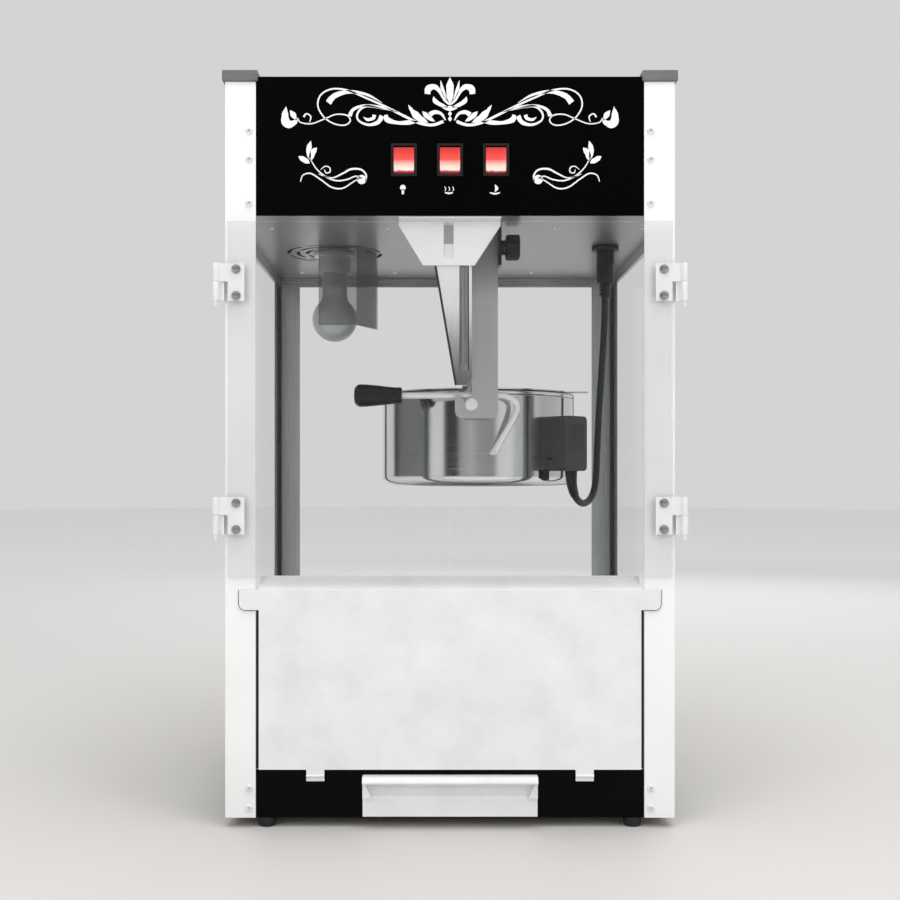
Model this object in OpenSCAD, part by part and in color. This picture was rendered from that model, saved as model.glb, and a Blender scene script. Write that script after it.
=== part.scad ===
// Countertop popcorn maker: glazed cabinet, tilting kettle, two doors, flap and kernel drawer.
// Millimetres. +Z up, the front faces -Y, the origin is on the floor at the middle of the cabinet.

/* [Cabinet] */
// Width over the corner posts
cab_w = 410; // [300:5:600]
// Depth over the corner posts
cab_d = 350; // [250:5:500]
// Top of the corner posts
post_top = 680; // [500:5:900]
// Leg width of the angle posts
post_leg = 28; // [15:0.5:50]
// Sheet thickness of posts and panels
sheet = 1.5; // [0.8:0.1:3]
// Height of the rubber feet
foot_h = 9; // [5:1:25]
// Diameter of the rubber feet
foot_d = 16.5; // [10:0.5:40]
// Top of the black base
base_top = 52.5; // [40:0.5:90]
// Underside of the ceiling
ceiling_z = 558; // [400:1:760]
// Top of the control housing
panel_top = 685; // [520:1:890]
// Thickness of the fixed panes
pane = 3; // [2:0.5:6]

/* [Doors] */
// Thickness of the clear doors
door_t = 3.5; // [2:0.5:6]
// Bottom edge of the doors
door_z0 = 228; // [150:1:300]
// Top edge of the doors
door_z1 = 552; // [400:1:700]
// Gap between the doors
door_gap = 2; // [1:0.5:6]
// Distance of the hinge axes from the middle
hinge_x = 212.5; // [210:0.5:230]
// Outer diameter of the hinge knuckles
knuckle_d = 6.5; // [5:0.5:12]
// Height of one hinge
hinge_h = 34; // [20:1:60]

/* [Flap and drawer] */
// Half width of the front flap
flap_x = 174; // [120:1:200]
// Bottom edge of the flap
flap_z0 = 53.4; // [40:0.1:90]
// Top edge of the flap's flat face
flap_z1 = 217; // [120:1:300]
// Half width of the drawer front
drawer_x = 79.5; // [50:0.5:120]
// Depth of the drawer tray
drawer_l = 234; // [120:2:300]

/* [Kettle] */
// Kettle axis, left to right
kettle_x = 32; // [-60:1:60]
// Outer radius of the kettle
kettle_r = 101.5; // [70:0.5:130]
// Underside of the kettle
kettle_z0 = 309.5; // [200:0.5:400]
// Top edge of the kettle wall
kettle_z1 = 400; // [300:0.5:480]
// Pivot axis, left to right
pivot_x = 21.5; // [0:0.5:40]
// Pivot axis height
pivot_z = 389; // [300:1:450]
// Diameter of the trunnion pins
trunnion_d = 8.4; // [6:0.2:16]
// Diameter of the handle rod
rod_d = 6.4; // [4:0.2:12]

/* [Lamp] */
// Lamp position, left to right
lamp_x = -121; // [-160:1:160]
// Lamp position, front to back
lamp_y = 13; // [-120:1:120]
// Diameter of the lamp bulb
bulb_d = 51; // [30:1:80]

/* [Switches] */
// Distance between switches
switch_pitch = 42; // [30:1:70]
// Height of the switches
switch_z = 608.5; // [570:0.5:670]

/* [Hidden] */
$fn = 64;
hw = cab_w / 2;
hd = cab_d / 2;
in_x = hw - sheet;
in_y = hd - sheet;
core_x = in_x - sheet - 0.1;
core_y = in_y - sheet - 0.1;
deck_z = base_top + 0.1;
foot_x = hw - 37.5;
foot_y = hd - 9.5;
hinge_y = -hd - 5;
hinge_zs = [479.5, 267.5];
nut_x = 194;
nut_zs = [4.5, 28.5];
post_screw_zs = [635, 609, 569, 36, 18];
arm_y = 114;
ear_y = 102;
rod_y = -109.2;
drive_z = 518;
cord_d = 7;
cord_sides = 10;
// middle line of the kettle lead, from the connector box to the ceiling plug
cord_route = [
    [121, -86, 331],
    [121, -86, 322],
    [122.2, -84.2, 310],
    [125.5, -79.2, 300.6],
    [130.6, -71.8, 294.6],
    [136.5, -63, 292.4],
    [142.4, -54.2, 294.6],
    [147.5, -46.8, 300.6],
    [150.8, -41.8, 310],
    [152.3, -39.8, 322],
    [153.4, -38.6, 345],
    [154.8, -37.4, 372],
    [156.6, -36, 400],
    [158.6, -34.6, 428],
    [160.8, -32.8, 458],
    [162.4, -31, 486],
    [163, -30, 510]
];

// ---- shared shapes ----

module box(x0, x1, y0, y1, z0, z1) {
    translate([x0, y0, z0]) cube([x1 - x0, y1 - y0, z1 - z0]);
}

module both_x() {
    children();
    mirror([1, 0, 0]) children();
}

module both_y() {
    children();
    mirror([0, 1, 0]) children();
}

// a flat outline in X and Z, given thickness from y0 to y1
module plate_xz(y0, y1) {
    translate([0, y1, 0]) rotate([90, 0, 0]) linear_extrude(y1 - y0) children();
}

// a side outline in Y and Z, given width from x0 to x1
module plate_yz(x0, x1) {
    translate([x0, 0, 0]) rotate([90, 0, 90]) linear_extrude(x1 - x0) children();
}

module rod_y(x, z, r, y0, y1) {
    translate([x, y1, z]) rotate([90, 0, 0]) cylinder(h = y1 - y0, r = r);
}

module rod_x(y, z, r, x0, x1) {
    translate([x0, y, z]) rotate([0, 90, 0]) cylinder(h = x1 - x0, r = r);
}

// a round bar between two points
module bar(a, b, r) {
    d = b - a;
    len = norm(d);
    turn = atan2(d[1], d[0]);
    lean = acos(d[2] / len);
    translate(a) rotate([0, lean, turn]) cylinder(h = len, r = r);
}

module rounded_rect(w, h, r) {
    union() {
        square([w - 2 * r, h], center = true);
        square([w, h - 2 * r], center = true);
        for (sx = [-1, 1], sy = [-1, 1]) {
            translate([sx * (w / 2 - r), sy * (h / 2 - r)]) circle(r = r);
        }
    }
}

// half section of a straight pan with a rounded bottom corner
module pan_section(r, h, c) {
    union() {
        translate([0, c]) square([r, h - c]);
        square([r - c, h]);
        translate([r - c, c]) circle(r = c);
    }
}

// ---- frame and panels ----

module post() {
    difference() {
        box(-hw, -hw + post_leg, -hd, -hd + post_leg, foot_h, post_top);
        box(-in_x, 0, -in_y, 0, foot_h - 1, post_top + 1);
    }
}

module front_posts() {
    color("white") both_x() post();
}

module rear_posts() {
    color("white") mirror([0, 1, 0]) both_x() post();
}

module post_cap() {
    difference() {
        translate([-hw - 2.5, -hd - 2.5, post_top]) cube([post_leg + 4.5, post_leg + 4.5, 10]);
        box(-in_x - 0.1, 0, -in_y - 0.1, 0, post_top - 1, panel_top + 0.3);
    }
}

module post_caps() {
    color("dimgray") both_x() both_y() post_cap();
}

module dome_screw(r) {
    union() {
        cylinder(h = 0.8, r = r);
        translate([0, 0, 0.8]) cylinder(h = 1, r1 = r, r2 = r * 0.65);
    }
}

module post_screws() {
    color("silver") {
        both_x() both_y() {
            for (z = post_screw_zs) {
                translate([183, -hd, z]) rotate([90, 0, 0]) dome_screw(3.3);
            }
        }
        both_x() both_y() {
            for (z = [640, 600, 30]) {
                translate([hw, -160, z]) rotate([0, 90, 0]) dome_screw(3.3);
            }
        }
    }
}

module control_panel() {
    color([0.05, 0.05, 0.05]) difference() {
        box(-in_x + 0.1, in_x - 0.1, -in_y, -in_y + sheet, ceiling_z, panel_top);
        for (i = [-1:1]) {
            box(i * switch_pitch - 10.8, i * switch_pitch + 10.8, -hd, -in_y + 3,
                switch_z - 13.8, switch_z + 13.8);
        }
    }
}

module top_sides() {
    color([0.05, 0.05, 0.05]) both_x() difference() {
        box(in_x - sheet, in_x, -core_y, core_y, ceiling_z, panel_top);
        for (i = [-4:4]) {
            box(in_x - 3, in_x + 1, i * 22 - 7, i * 22 + 7, 650, 653);
            box(in_x - 3, in_x + 1, i * 22 - 7, i * 22 + 7, 660, 663);
        }
    }
}

module top_rear() {
    color([0.05, 0.05, 0.05]) difference() {
        box(-in_x + 0.1, in_x - 0.1, in_y - sheet, in_y, ceiling_z, panel_top);
        rod_y(-120, 600, 8.1, in_y - 3, in_y + 1);
        for (i = [-5:5], k = [0:3]) {
            box(i * 24 - 8, i * 24 + 8, in_y - 3, in_y + 1, 632 + k * 9, 635 + k * 9);
        }
    }
}

module roof_panel() {
    color([0.05, 0.05, 0.05]) difference() {
        box(-core_x, core_x, -core_y, core_y, panel_top - sheet, panel_top);
        for (i = [-4:4]) {
            box(60, 130, i * 14 - 2, i * 14 + 2, panel_top - 3, panel_top + 1);
        }
    }
}

module arc_slot(r, w, a0, span) {
    rotate([0, 0, a0]) rotate_extrude(angle = span) translate([r - w / 2, 0]) square([w, 4]);
}

module ceiling_panel() {
    color("silver") difference() {
        box(-core_x, core_x, -core_y, core_y, ceiling_z, ceiling_z + sheet);
        translate([kettle_x, 0, ceiling_z - 1]) cylinder(h = 4, r = 8);
        translate([163, -30, ceiling_z - 1]) cylinder(h = 4, r = 8);
        translate([lamp_x, lamp_y, ceiling_z - 1]) {
            cylinder(h = 4, r = 5);
            for (k = [0:5]) {
                arc_slot(29, 4, k * 60, 44);
                arc_slot(39, 4, k * 60 + 30, 48);
                arc_slot(49, 4, k * 60, 50);
            }
        }
    }
}

module ceiling_rails() {
    color("darkgray") {
        both_x() box(199.5, in_x - 0.1, -169, 169, 547.2, ceiling_z);
        box(-199, 199, 169.5, in_y - 0.1, 547.2, ceiling_z);
    }
}

module base_front() {
    color([0.06, 0.06, 0.06]) difference() {
        box(-in_x + 0.1, in_x - 0.1, -in_y, -in_y + sheet, foot_h, base_top);
        box(1.5 - drawer_x, drawer_x - 1.5, -hd, -in_y + 3, foot_h + 2.5, 48.6);
        for (s = [-1, 1]) {
            box(s * 122.5 - 9, s * 122.5 + 9, -hd, -in_y + 3, 42, base_top + 1);
        }
    }
}

module base_walls() {
    color([0.06, 0.06, 0.06]) {
        both_x() box(in_x - sheet, in_x, -core_y, core_y, foot_h, base_top);
        box(-in_x + 0.1, in_x - 0.1, in_y - sheet, in_y, foot_h, base_top);
    }
}

module bottom_plate() {
    color("gray") box(-core_x, core_x, -core_y, core_y, foot_h, foot_h + sheet);
}

module deck() {
    color("silver") difference() {
        box(-core_x, core_x, -core_y, core_y, deck_z, deck_z + sheet);
        for (i = [-4:4], k = [-5:5]) {
            translate([i * 16, k * 16 - 40, deck_z - 1]) cylinder(h = 4, r = 4.5, $fn = 24);
        }
    }
}

module feet() {
    color([0.1, 0.1, 0.1]) both_x() both_y() translate([foot_x, foot_y, 0]) {
        cylinder(h = 2, r1 = foot_d / 2 - 1, r2 = foot_d / 2);
        translate([0, 0, 2]) cylinder(h = foot_h - 2, r = foot_d / 2);
    }
}

module side_pane() {
    box(in_x - 0.1 - pane, in_x - 0.1, -166, 166, deck_z + sheet + 0.1, 547);
}

module side_glass_left() {
    color([0.8, 0.9, 0.95, 0.3]) mirror([1, 0, 0]) side_pane();
}

module side_glass_right() {
    color([0.8, 0.9, 0.95, 0.3]) side_pane();
}

module rear_glass() {
    color([0.8, 0.9, 0.95, 0.3])
        box(-196, 196, in_y - 0.1 - pane, in_y - 0.1, deck_z + sheet + 0.1, 547);
}

module glass_gaskets() {
    color([0.1, 0.1, 0.1]) both_x() both_y() {
        box(in_x - 0.1 - pane - 1.5, in_x - 0.1, 166.1, 169.1, deck_z + sheet + 0.1, 547);
    }
}

// ---- doors and hinges ----

module door_pane() {
    difference() {
        box(door_gap / 2, 202, -hd - 0.3 - door_t, -hd - 0.3, door_z0, door_z1);
        for (z = hinge_zs, k = nut_zs) {
            rod_y(nut_x, z + k, 2.05, -hd - 9, -hd + 1);
        }
    }
}

module door_glass_left() {
    color([0.85, 0.92, 0.95, 0.3]) mirror([1, 0, 0]) door_pane();
}

module door_glass_right() {
    color([0.85, 0.92, 0.95, 0.3]) door_pane();
}

// the upper knuckle with its leaf on the door, and the leaf's two cap nuts
module door_leaf(z) {
    difference() {
        union() {
            box(186.5, hinge_x, hinge_y - 0.6, hinge_y + 1.1, z + 17.6, z + hinge_h);
            box(186.5, 201.5, hinge_y - 0.6, hinge_y + 1.1, z, z + 18);
            translate([hinge_x, hinge_y, z + 17.6]) cylinder(h = hinge_h - 17.6, r = knuckle_d / 2);
        }
        translate([hinge_x, hinge_y, z - 1]) cylinder(h = hinge_h + 4, r = 1.8);
    }
    for (k = nut_zs) {
        translate([nut_x, hinge_y - 0.6, z + k]) rotate([90, 0, 0]) cap_nut();
        rod_y(nut_x, z + k, 2, hinge_y + 1.1, -hd - 0.4);
    }
}

module cap_nut() {
    cylinder(h = 1.4, r = 3.8, $fn = 6);
    translate([0, 0, 1.4]) cylinder(h = 1.6, r1 = 3.2, r2 = 1.8);
}

module door_leaf_left() {
    color("silver") mirror([1, 0, 0]) for (z = hinge_zs) door_leaf(z);
}

module door_leaf_right() {
    color("silver") for (z = hinge_zs) door_leaf(z);
}

// the lower knuckle, its pin and the leaf on the post's side
module post_leaf(z) {
    union() {
        translate([hinge_x, hinge_y, z]) cylinder(h = 17.4, r = knuckle_d / 2);
        translate([hinge_x, hinge_y, z - 5]) cylinder(h = hinge_h + 3, r = 1.74);
        box(hw + 0.1, hinge_x, hinge_y + 1.4, hinge_y + 3.2, z, z + 17.4);
        box(hw + 0.1, hw + 1.8, hinge_y + 1.4, hinge_y + 28, z, z + 17.4);
        box(hw + 0.1, hw + 1.8, hinge_y + 8, hinge_y + 28, z, z + hinge_h);
    }
}

module hinge_post_leaves() {
    color("silver") both_x() for (z = hinge_zs) post_leaf(z);
}

// ---- front flap and kernel drawer ----

module flap_side() {
    polygon([[-hd - 2, flap_z0], [-hd - 0.5, flap_z0], [-hd - 0.5, flap_z1 - 1],
        [-hd + 14, flap_z1 + 10], [-hd + 14, flap_z1 + 11.5], [-hd + 13.2, flap_z1 + 11.5],
        [-hd - 2, flap_z1]]);
}

module flap_tab() {
    union() {
        translate([flap_x - 2, flap_z1 - 18.5]) square([14, 18.5]);
        translate([flap_x - 2, flap_z1 - 12.5]) square([20, 12.5]);
        translate([flap_x + 12, flap_z1 - 12.5]) circle(r = 6);
    }
}

module flap_panel() {
    color([0.9, 0.9, 0.9]) union() {
        plate_yz(-flap_x, flap_x) flap_side();
        both_x() plate_xz(-hd - 2, -hd - 0.5) flap_tab();
        both_x() {
            box(114.3, 130.7, -hd - 2, -hd - 0.5, 43, flap_z0 + 2);
            box(114.3, 130.7, -hd - 2, -hd + 1, 43, 44.5);
            rod_x(-hd - 3, 48, 1.2, 114.3, 130.7);
        }
    }
}

module drawer_front() {
    color([0.88, 0.88, 0.88]) union() {
        plate_yz(-drawer_x, drawer_x) polygon([[-173.9, 11], [-178, 11], [-178, 28.5],
            [-176.4, 30.5], [-175.4, 30.5], [-175.4, 41.8], [-185.5, 41.8], [-187, 43],
            [-187, 44.5], [-184, 48.3], [-173.9, 48.3]]);
        both_x() plate_xz(-181, -175) polygon([[drawer_x, 28], [drawer_x, 42.5],
            [drawer_x - 2, 42.5], [drawer_x - 8.5, 28]]);
    }
}

module drawer_tray() {
    color("lightgray") difference() {
        box(-76, 76, -173.9, -173.9 + drawer_l, 12.4, 46);
        box(-75, 75, -172.9, -174.9 + drawer_l, 13.4, 50);
    }
}

module drawer_rails() {
    color("gray") both_x() union() {
        box(66, 78, -171.8, 70, foot_h + sheet, foot_h + sheet + 1.5);
        box(76.6, 78, -171.8, 70, foot_h + sheet, 40);
    }
}

module warming_element() {
    color("gray") union() {
        rod_y(-110, 49.5, 2.5, -100, 120);
        rod_y(110, 49.5, 2.5, -100, 120);
        rod_x(120, 49.5, 2.5, -110, 110);
        for (s = [-1, 1]) {
            translate([s * 110, 120, 49.5]) sphere(r = 2.5);
            box(s * 110 - 6, s * 110 + 6, -104, -92, foot_h + sheet, 52);
        }
    }
}

// ---- hangers, drive and ceiling fittings ----

module gear_motor() {
    color("gray") difference() {
        union() {
            box(kettle_x - 45, kettle_x + 45, -30, 30, ceiling_z + 5, ceiling_z + 38);
            translate([kettle_x, 0, ceiling_z + 38]) cylinder(h = 70, r = 30);
            translate([kettle_x, 0, ceiling_z + 108]) cylinder(h = 5, r1 = 30, r2 = 24);
        }
        translate([kettle_x, 0, ceiling_z + 1]) cylinder(h = 30, r = 5.06);
    }
}

module motor_plate() {
    color("darkgray") difference() {
        box(kettle_x - 60, kettle_x + 60, -42, 42, ceiling_z + sheet, ceiling_z + 5);
        translate([kettle_x, 0, ceiling_z]) cylinder(h = 9, r = 8);
    }
}

module hanger_bracket() {
    color([0.93, 0.93, 0.93]) union() {
        plate_xz(-160, -158.5) difference() {
            polygon([[-47, ceiling_z], [47, ceiling_z], [47, 551.7], [23, 515], [-24.7, 515],
                [-47, 551.7]]);
            translate([-5.6, 522]) square([9.1, 33]);
        }
        box(-47, 47, -core_y, -140, ceiling_z - 1.5, ceiling_z);
    }
}

module tongue_outline() {
    polygon([[-17.4, 535], [20.6, 535], [20.6, 414], [18.5, 407.5], [13, 404.6], [4.8, 404.6]]);
}

module latch_tongue() {
    color([0.75, 0.75, 0.75]) union() {
        plate_xz(-158.4, -157.2) tongue_outline();
        plate_xz(-158.4, -150) intersection() {
            tongue_outline();
            union() {
                translate([19.4, 400]) square([1.2, 112]);
                polygon([[-17.4, 535], [-16.2, 535], [6, 404.6], [4.8, 404.6]]);
            }
        }
    }
}

// a flat arm from the ceiling with a slanting open slot that the trunnion drops into
module hanger_arm() {
    union() {
        plate_xz(-arm_y - 2, -arm_y) difference() {
            union() {
                translate([22, 383]) square([25, ceiling_z - 383]);
                translate([5.7, 383]) square([41.3, 15]);
                translate([12.7, 375.7]) square([27.3, 10]);
                translate([12.7, 382.7]) circle(r = 7);
                translate([40, 382.7]) circle(r = 7);
            }
            translate([pivot_x, pivot_z]) circle(r = trunnion_d / 2 + 0.08);
            translate([pivot_x, pivot_z]) rotate([0, 0, 30])
                translate([-trunnion_d / 2 - 0.08, 0]) square([trunnion_d + 0.16, 15]);
        }
        box(22, 47, -arm_y, -arm_y + 20, ceiling_z - 2, ceiling_z);
    }
}

module hanger_arm_front() {
    color("darkgray") hanger_arm();
}

module hanger_arm_rear() {
    color("darkgray") mirror([0, 1, 0]) hanger_arm();
}

module clamp_bracket() {
    color([0.1, 0.1, 0.1]) union() {
        box(47.1, 50.1, -124, -106, 522, ceiling_z);
        rod_x(-115, 540, 3, 50, 66);
    }
}

module clamp_knob() {
    color([0.08, 0.08, 0.08]) difference() {
        union() {
            rod_x(-115, 540, 7, 50.6, 54);
            rod_x(-115, 540, 9.5, 54, 68);
            for (k = [0:5]) {
                rod_x(-115 + 10 * cos(k * 60), 540 + 10 * sin(k * 60), 3, 54, 68);
            }
        }
        rod_x(-115, 540, 3.06, 50, 66.4);
    }
}

module lamp_socket() {
    color("white") translate([lamp_x, lamp_y, 0]) difference() {
        union() {
            translate([0, 0, 536]) cylinder(h = ceiling_z - 536, r = 17);
            translate([0, 0, ceiling_z - 4]) cylinder(h = 4, r = 22);
        }
        translate([0, 0, 535]) cylinder(h = 12, r = 13.6);
    }
}

module lamp_bulb() {
    color([1, 0.97, 0.9]) translate([lamp_x, lamp_y, 0]) union() {
        translate([0, 0, 463.6 + bulb_d / 2]) sphere(r = bulb_d / 2);
        translate([0, 0, 500]) cylinder(h = 47, r = 13.4);
    }
}

module lamp_guard() {
    color([0.25, 0.27, 0.28, 0.5]) translate([0, 0, 476]) union() {
        linear_extrude(ceiling_z - 476) polygon([[-133.8, -33], [-93.6, -33], [-74.5, 7.1],
            [-76.3, 8], [-94.8, -31], [-133.8, -31]]);
        translate([-133.8, -31, ceiling_z - 478]) cube([39, 12, 2]);
    }
}

module kettle_socket() {
    color([0.1, 0.1, 0.1]) translate([163, -30, 0]) difference() {
        union() {
            translate([0, 0, 553]) cylinder(h = ceiling_z - 553, r = 14);
            translate([0, 0, ceiling_z]) cylinder(h = 18, r = 7.9);
        }
        translate([0, 0, 552]) cylinder(h = 16, r = 5.1);
    }
}

module cord_plug() {
    color([0.12, 0.12, 0.12]) translate([163, -30, 0]) difference() {
        union() {
            translate([0, 0, 519]) cylinder(h = 34, r = 9);
            translate([0, 0, 553]) cylinder(h = 14, r = 5);
            translate([0, 0, 505]) cylinder(h = 14, r1 = 4.5, r2 = 5.5);
            for (k = [0:2]) {
                translate([0, 0, 507 + k * 4]) cylinder(h = 2, r = 6.2);
            }
        }
        translate([0, 0, 504]) cylinder(h = 9, r = cord_d / 2);
    }
}

module power_gland() {
    color([0.1, 0.1, 0.1]) difference() {
        union() {
            rod_y(-120, 600, 8, in_y - 12, in_y);
            rod_y(-120, 600, 12, in_y, in_y + 5);
            rod_y(-120, 600, 10, in_y + 5, hd + 12);
            rod_y(-120, 600, 12, in_y - 6, in_y - sheet);
        }
        rod_y(-120, 600, 4, in_y - 14, hd + 13);
    }
}

module switch_housing() {
    difference() {
        union() {
            box(-11.8, 11.8, -hd - 1, -in_y, switch_z - 14.8, switch_z + 14.8);
            box(-10.7, 10.7, -in_y, -150, switch_z - 13.7, switch_z + 13.7);
        }
        box(-9.5, 9.5, -hd - 2, -155, switch_z - 12.8, switch_z + 12.8);
        rod_x(-169, switch_z, 1.25, -10.3, 10.3);
    }
}

module switch_housings() {
    color([0.15, 0.15, 0.15]) for (i = [-1:1]) {
        translate([i * switch_pitch, 0, 0]) switch_housing();
    }
}

module rocker(i) {
    translate([i * switch_pitch, -169, switch_z]) union() {
        rotate([8, 0, 0]) plate_yz(-9.2, 9.2) polygon([[-8.4, 0], [-6.2, 11.9], [-3, 12.1],
            [4, 5], [4, -5], [-3, -12.1], [-6.2, -11.9]]);
        rod_x(0, 0, 1.2, -10.2, 10.2);
    }
}

module rocker_left() {
    color([0.85, 0.2, 0.12]) rocker(-1);
}

module rocker_middle() {
    color([0.85, 0.2, 0.12]) rocker(0);
}

module rocker_right() {
    color([0.85, 0.2, 0.12]) rocker(1);
}

// ---- kettle ----

module kettle_shell() {
    color("silver") translate([kettle_x, 0, kettle_z0]) rotate_extrude($fn = 128) difference() {
        pan_section(kettle_r, kettle_z1 - kettle_z0, 10);
        translate([0, 1.2]) pan_section(kettle_r - 1.2, kettle_z1 - kettle_z0, 8.8);
    }
}

module kettle_pot() {
    color("silver") translate([kettle_x, 0, 338]) rotate_extrude($fn = 128) union() {
        difference() {
            pan_section(94.2, kettle_z1 - 336.5, 13);
            translate([0, 1.5]) pan_section(93, kettle_z1 - 336, 11.8);
        }
        translate([93, kettle_z1 - 338]) square([6.6, 1.5]);
        translate([99.6, kettle_z1 - 335.8]) circle(r = 2.2, $fn = 32);
    }
}

module kettle_heater() {
    color("gray") translate([kettle_x, 0, 0]) union() {
        translate([0, 0, 330]) cylinder(h = 8, r = 78);
        translate([0, 0, 312]) cylinder(h = 18, r = 14);
    }
}

// the strap over the kettle: two ears outside the wall, lid hinge lugs and pins on top
module crossbar() {
    color("lightgray") difference() {
        union() {
            box(kettle_x - 8, kettle_x + 8, -ear_y - 2, ear_y + 2, 404.6, 407.6);
            both_y() plate_xz(-ear_y - 2, -ear_y) union() {
                translate([13, 378]) square([32, 29.6]);
                translate([10, 381]) square([38, 23.6]);
            }
            for (s = [-1, 1]) {
                for (y = [-66, -38, 34, 62]) {
                    box(kettle_x + s * 8.6 - 4.6, kettle_x + s * 8.6 + 4.6, y, y + 4, 407.6, 412);
                }
                rod_y(kettle_x + s * 11, 409.8, 1.25, -66, -34);
                rod_y(kettle_x + s * 11, 409.8, 1.25, 34, 66);
            }
            translate([kettle_x, 0, 400]) cylinder(h = 12, r = 7.5);
        }
        translate([kettle_x, 0, 398]) cylinder(h = 20, r = 4.06);
    }
}

module trunnion_pins() {
    color("silver") both_y() {
        rod_y(pivot_x, pivot_z, trunnion_d / 2, -arm_y - 2.3, -ear_y - 2);
        translate([pivot_x, -arm_y - 2.3, pivot_z]) rotate([90, 0, 0]) {
            cylinder(h = 1, r = 6.3);
            translate([0, 0, 1]) cylinder(h = 1.5, r1 = 6.3, r2 = 4.2);
        }
    }
}

module handle_rod() {
    a = [-60, rod_y, 398];
    b = [49, rod_y, 398];
    c = [69.8, rod_y, 387];
    d = [44.5, rod_y, 343.5];
    color("silver") union() {
        bar(a, b, rod_d / 2);
        bar(b, c, rod_d / 2);
        bar(c, d, rod_d / 2);
        for (p = [b, c, d]) {
            translate(p) sphere(r = rod_d / 2 + 0.15);
        }
        rod_y(44.5, 343.5, rod_d / 2 - 0.1, rod_y, -kettle_r + 0.3);
        rod_y(40, 398, 2.8, rod_y, -ear_y - 2);
    }
}

module handle_grip() {
    color([0.08, 0.08, 0.08]) translate([-91.6, rod_y, 398]) rotate([0, 90, 0]) difference() {
        union() {
            translate([0, 0, 3]) cylinder(h = 43.1, r1 = 11, r2 = 8);
            cylinder(h = 3, r1 = 8.5, r2 = 11);
        }
        translate([0, 0, 31.6]) cylinder(h = 20, r = rod_d / 2);
    }
}

module connector_box() {
    color([0.22, 0.22, 0.22]) difference() {
        translate([kettle_x, 0, 325]) rotate([0, 0, -45]) {
            translate([118, 0, 27]) rotate([0, 90, 0]) translate([0, 0, -20])
                linear_extrude(34) rounded_rect(54, 34, 5);
        }
        translate([kettle_x, 0, 300]) cylinder(h = 110, r = kettle_r + 0.1, $fn = 128);
        translate([cord_route[0][0], cord_route[0][1], 320]) cylinder(h = 14, r = cord_d / 2);
    }
}

// ---- lids, agitator and drive ----

module lid() {
    difference() {
        union() {
            difference() {
                translate([0, 0, 405.2]) cylinder(h = 1.2, r = 101, $fn = 128);
                translate([-102, -102, 405]) cube([112, 204, 3]);
            }
            for (y = [-58, 42]) {
                rod_y(11, 409.8, 2.4, y, y + 16);
                box(10.2, 12.6, y, y + 16, 405.4, 409.8);
            }
        }
        rod_y(11, 409.8, 1.32, -70, 70);
    }
}

module lid_left() {
    color("gainsboro") translate([kettle_x, 0, 0]) mirror([1, 0, 0]) lid();
}

module lid_right() {
    color("gainsboro") translate([kettle_x, 0, 0]) union() {
        lid();
        translate([88, -42, 405.2]) cube([24, 26, 1.2]);
    }
}

module agitator() {
    color("silver") translate([kettle_x, 0, 0]) difference() {
        union() {
            translate([0, 0, 341]) cylinder(h = drive_z - 359, r = 4);
            translate([0, 0, drive_z - 20]) cylinder(h = 14, r = 6.2);
            for (a = [0, 180]) {
                rotate([0, 0, a]) {
                    translate([2, -1, 341]) cube([78, 2, 9]);
                    translate([74, -1, 341]) rotate([0, 0, 35]) cube([12, 2, 9]);
                }
            }
            translate([0, 0, 412.3]) cylinder(h = 5, r = 7);
        }
        translate([-8, -1.8, drive_z - 15]) cube([16, 3.6, 12]);
    }
}

module drive_shaft() {
    color("silver") translate([kettle_x, 0, 0]) union() {
        translate([0, 0, drive_z]) cylinder(h = ceiling_z + 28 - drive_z, r = 5);
        translate([-4.5, -1.5, drive_z - 13.6]) cube([9, 3, 14]);
    }
}

// ---- lead between the kettle and the ceiling ----

function at(p, i) = p[max(0, min(len(p) - 1, i))];
function unit(v) = v / norm(v);
function along(p, i) = unit(at(p, i + 1) - at(p, i - 1));
function ring(c, t, r, n) = let (u = unit(cross(t, [0, 1, 0])), v = cross(t, u))
    [for (j = [0:n - 1]) c + r * (cos(360 * j / n) * u + sin(360 * j / n) * v)];

module tube(line, r, n) {
    m = len(line);
    points = [for (i = [0:m - 1]) each ring(line[i], along(line, i), r, n)];
    sides = [for (i = [0:m - 2], j = [0:n - 1])
        [i * n + j, (i + 1) * n + j, (i + 1) * n + (j + 1) % n, i * n + (j + 1) % n]];
    first = [for (j = [0:n - 1]) j];
    last = [for (j = [0:n - 1]) m * n - 1 - j];
    polyhedron(points, concat([first], sides, [last]));
}

module kettle_cord() {
    color([0.12, 0.12, 0.12]) tube(cord_route, cord_d / 2 - 0.05, cord_sides);
}

front_posts();
rear_posts();
post_caps();
post_screws();
control_panel();
top_sides();
top_rear();
roof_panel();
ceiling_panel();
ceiling_rails();
base_front();
base_walls();
bottom_plate();
deck();
feet();
side_glass_left();
side_glass_right();
rear_glass();
glass_gaskets();
hinge_post_leaves();
gear_motor();
motor_plate();
hanger_bracket();
latch_tongue();
hanger_arm_front();
hanger_arm_rear();
lamp_socket();
lamp_bulb();
lamp_guard();
kettle_socket();
cord_plug();
switch_housings();
power_gland();
warming_element();
drawer_rails();
clamp_bracket();
kettle_shell();
kettle_pot();
kettle_heater();
crossbar();
trunnion_pins();
handle_rod();
handle_grip();
connector_box();
lid_left();
lid_right();
agitator();
drive_shaft();
door_glass_left();
door_glass_right();
door_leaf_left();
door_leaf_right();
flap_panel();
drawer_tray();
drawer_front();
rocker_left();
rocker_middle();
rocker_right();
clamp_knob();
kettle_cord();
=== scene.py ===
import bpy
import bmesh
from math import cos, pi, radians, sin, sqrt
from mathutils import Matrix, Vector


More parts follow.
